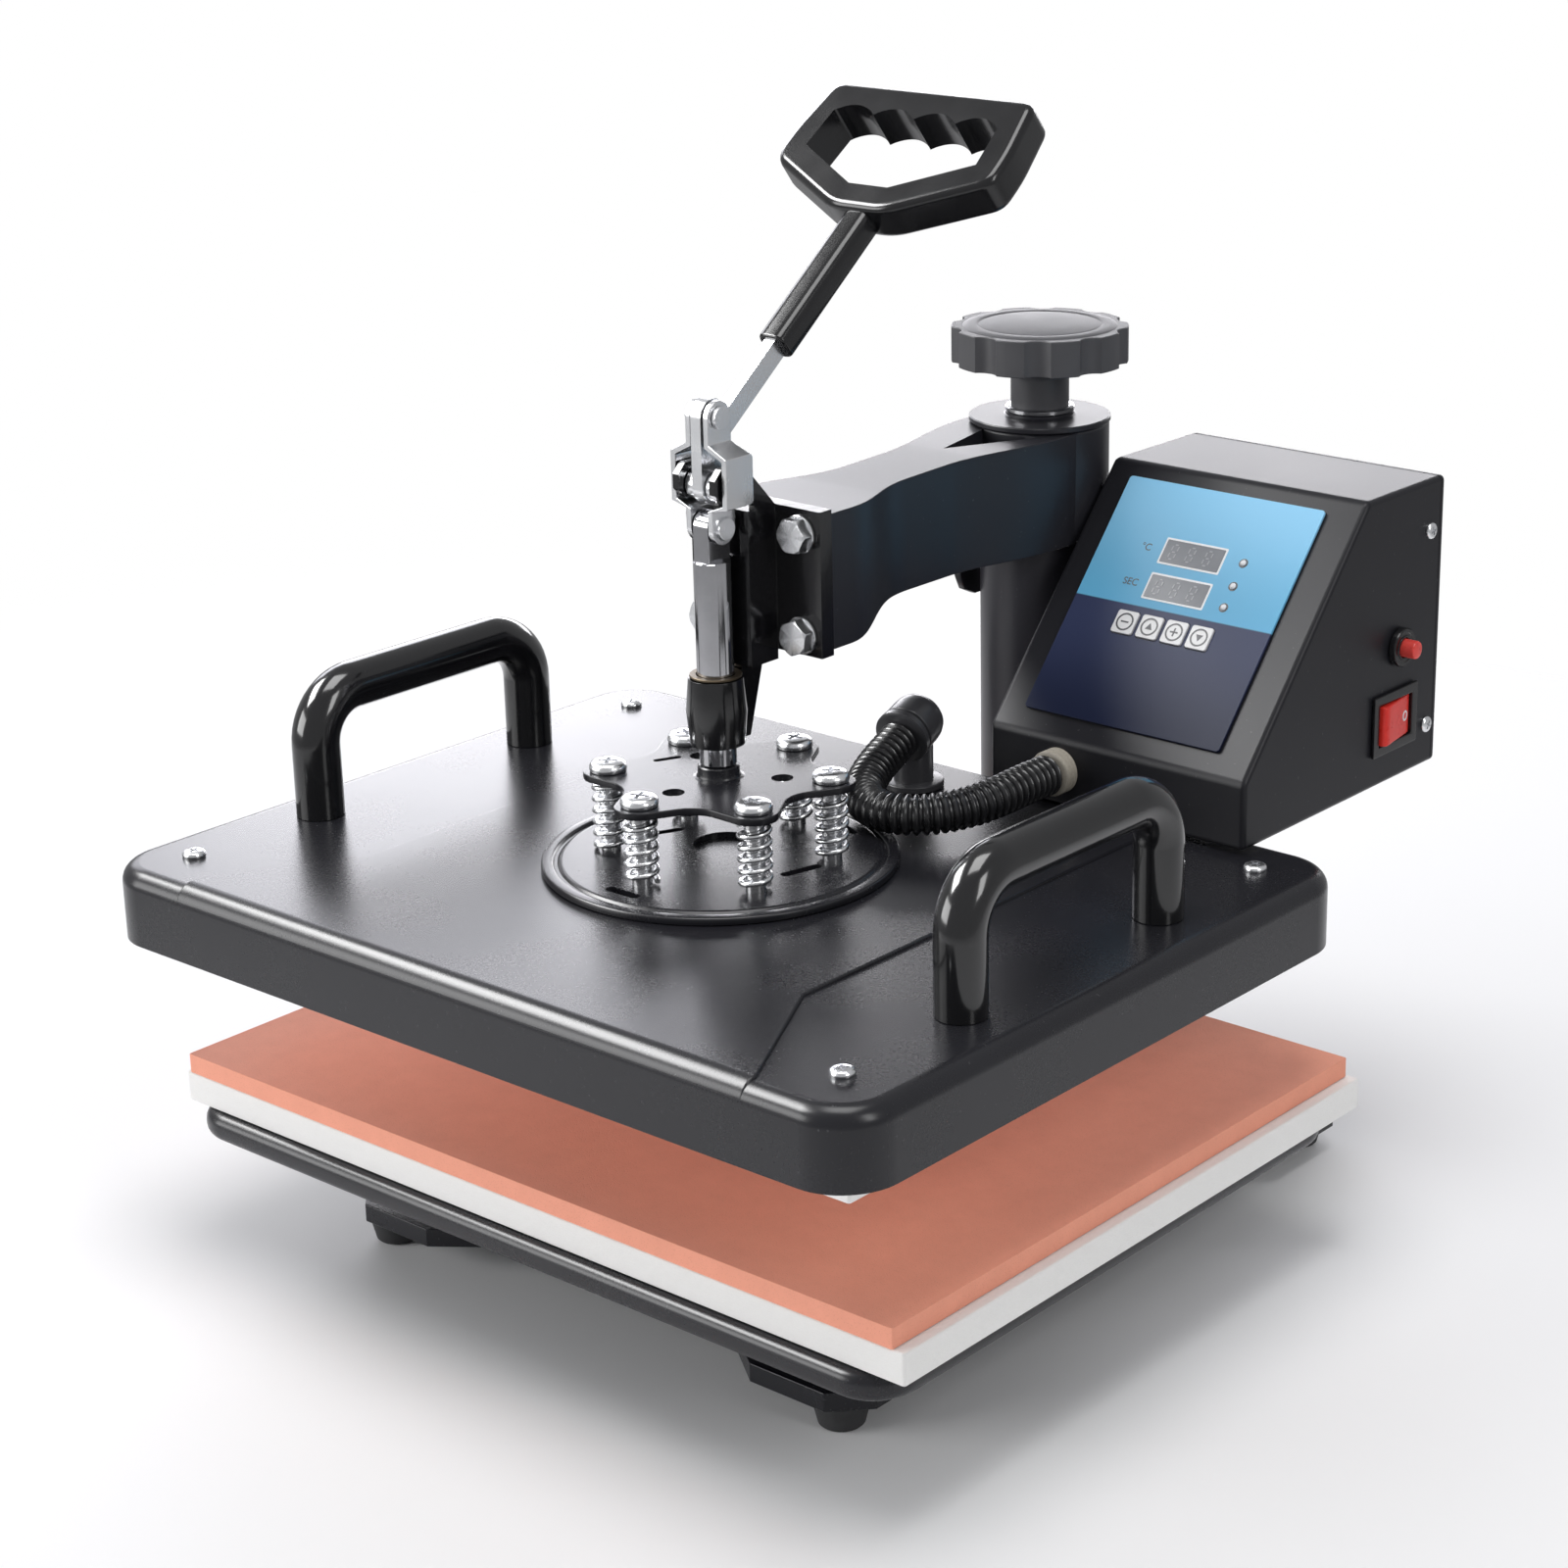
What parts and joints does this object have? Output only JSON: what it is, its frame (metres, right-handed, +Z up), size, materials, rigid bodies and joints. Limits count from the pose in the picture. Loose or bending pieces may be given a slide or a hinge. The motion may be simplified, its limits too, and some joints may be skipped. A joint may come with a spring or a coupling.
{
  "type": "combo heat press",
  "caption": "Swing-arm heat press with a toggle lever, a sprung heated platen, a padded lower platen, side handles and a sloping control box.",
  "frame": {"origin": "centre of the whole press's footprint, on the floor plane that its rubber feet stand on", "axes": "+Z up, +X to the operator's right, +Y away from the operator towards the post"},
  "size_m": [0.398, 0.4402, 0.4589],
  "materials": {
    "satin_black": "satin black powder coat, light orange peel",
    "gloss_black": "glossy black enamel",
    "post_grey": "charcoal satin paint",
    "black_plastic": "moulded black plastic",
    "rubber": "matt black rubber",
    "zinc_steel": "bright zinc plate",
    "chrome": "polished",
    "cast_aluminium": "milled",
    "silicone": "matt coral silicone sponge",
    "white_foam": "matt off-white heat felt",
    "brass": "plain",
    "board": "green solder mask",
    "panel_blue": "printed film, pale blue over navy",
    "screen": "smoked grey",
    "key_white": "pale key caps",
    "red_plastic": "glossy red",
    "cream_plastic": "cream nylon"
  },
  "bodies": {
    "base": {"base_frame": "satin_black", "foot_front_left": "rubber", "foot_front_right": "rubber", "foot_rear_left": "rubber", "foot_rear_right": "rubber", "post": "post_grey", "post_nut": "brass", "lower_platen": "satin_black", "base_pad": "white_foam", "silicone_pad": "silicone"},
    "lift": {"lift_ring": "zinc_steel"},
    "knob": {"pressure_knob": "black_plastic", "pressure_screw": "zinc_steel"},
    "arm": {"swing_arm": "satin_black", "hub_cap": "satin_black", "head_bracket": "gloss_black", "guide_bush": "brass", "pivot_pin": "zinc_steel", "control_case": "satin_black", "case_back": "satin_black", "control_panel": "panel_blue", "display_module": "screen", "circuit_board": "board", "rocker_housing": "black_plastic", "breaker_housing": "black_plastic", "mains_inlet": "rubber", "box_bracket": "satin_black", "hose_collar": "cream_plastic"},
    "key_1": {"panel_key_1": "key_white"},
    "key_2": {"panel_key_2": "key_white"},
    "key_3": {"panel_key_3": "key_white"},
    "key_4": {"panel_key_4": "key_white"},
    "rocker": {"rocker_switch": "red_plastic"},
    "breaker": {"breaker_button": "red_plastic"},
    "lever": {"lever_bar": "zinc_steel", "hand_grip": "black_plastic"},
    "link": {"link_left": "zinc_steel", "link_right": "zinc_steel", "link_pin": "zinc_steel"},
    "platen": {"platen_cover": "satin_black", "heater_plate": "cast_aluminium", "spring_disc": "satin_black", "spring_screw_1": "zinc_steel", "spring_screw_2": "zinc_steel", "spring_screw_3": "zinc_steel", "spring_screw_4": "zinc_steel", "spring_screw_5": "zinc_steel", "spring_screw_6": "zinc_steel", "spring_1": "zinc_steel", "spring_2": "zinc_steel", "spring_3": "zinc_steel", "spring_4": "zinc_steel", "spring_5": "zinc_steel", "spring_6": "zinc_steel", "handle_left": "gloss_black", "handle_right": "gloss_black", "hose_gland": "post_grey", "platen_hose": "black_plastic"},
    "plunger": {"plunger_rod": "chrome", "spring_plate": "gloss_black"}
  },
  "joints": [
    {"name": "arm_height", "type": "slide", "parent": "base", "child": "lift", "axis": [0, 0, 1], "range_m": [0, 0.012]},
    {"name": "arm_swing", "type": "hinge", "parent": "lift", "child": "arm", "pos_m": [0, 0.14085, 0.3], "axis": [0, 0, 1], "range_deg": [-180, 180]},
    {"name": "knob_turn", "type": "hinge", "parent": "lift", "child": "knob", "pos_m": [0, 0.14085, 0.34], "axis": [0, 0, 1], "range_deg": [0, 2160]},
    {"name": "press_slide", "type": "slide", "parent": "arm", "child": "platen", "axis": [0, 0, -1], "range_m": [0, 0.0523], "deforming": ["platen_hose"]},
    {"name": "lever_hinge", "type": "hinge", "parent": "arm", "child": "lever", "pos_m": [0, -0.06715, 0.3255], "axis": [1, 0, 0], "range_deg": [0, 160]},
    {"name": "link_hinge", "type": "hinge", "parent": "lever", "child": "link", "pos_m": [0, -0.06715, 0.353], "axis": [1, 0, 0], "range_deg": [-147.5, 0]},
    {"name": "spring_float", "type": "slide", "parent": "platen", "child": "plunger", "axis": [0, 0, -1], "range_m": [0, 0.004], "stiffness_N_per_m": 9000, "springref_m": -0.004, "deforming": ["spring_1", "spring_2", "spring_3", "spring_4", "spring_5", "spring_6"]},
    {"name": "key_press_1", "type": "slide", "parent": "arm", "child": "key_1", "axis": [0, 0.7497, -0.6617], "range_m": [0, 0.0008], "stiffness_N_per_m": 1500, "springref_m": -0.0004},
    {"name": "key_press_2", "type": "slide", "parent": "arm", "child": "key_2", "axis": [0, 0.7497, -0.6617], "range_m": [0, 0.0008], "stiffness_N_per_m": 1500, "springref_m": -0.0004},
    {"name": "key_press_3", "type": "slide", "parent": "arm", "child": "key_3", "axis": [0, 0.7497, -0.6617], "range_m": [0, 0.0008], "stiffness_N_per_m": 1500, "springref_m": -0.0004},
    {"name": "key_press_4", "type": "slide", "parent": "arm", "child": "key_4", "axis": [0, 0.7497, -0.6617], "range_m": [0, 0.0008], "stiffness_N_per_m": 1500, "springref_m": -0.0004},
    {"name": "rocker_tip", "type": "hinge", "parent": "arm", "child": "rocker", "pos_m": [0.1615, 0.17635, 0.2], "axis": [0, 0, -1], "range_deg": [0, 16]},
    {"name": "breaker_push", "type": "slide", "parent": "arm", "child": "breaker", "axis": [-1, 0, 0], "range_m": [0, 0.003], "stiffness_N_per_m": 1000, "springref_m": -0.001}
  ],
  "couplings": [
    {"joint": "lever_hinge", "follows": "press_slide", "rad_per_m": 53.394},
    {"joint": "link_hinge", "follows": "press_slide", "rad_per_m": -49.222},
    {"joint": "knob_turn", "follows": "arm_height", "rad_per_m": 3141.6}
  ]
}
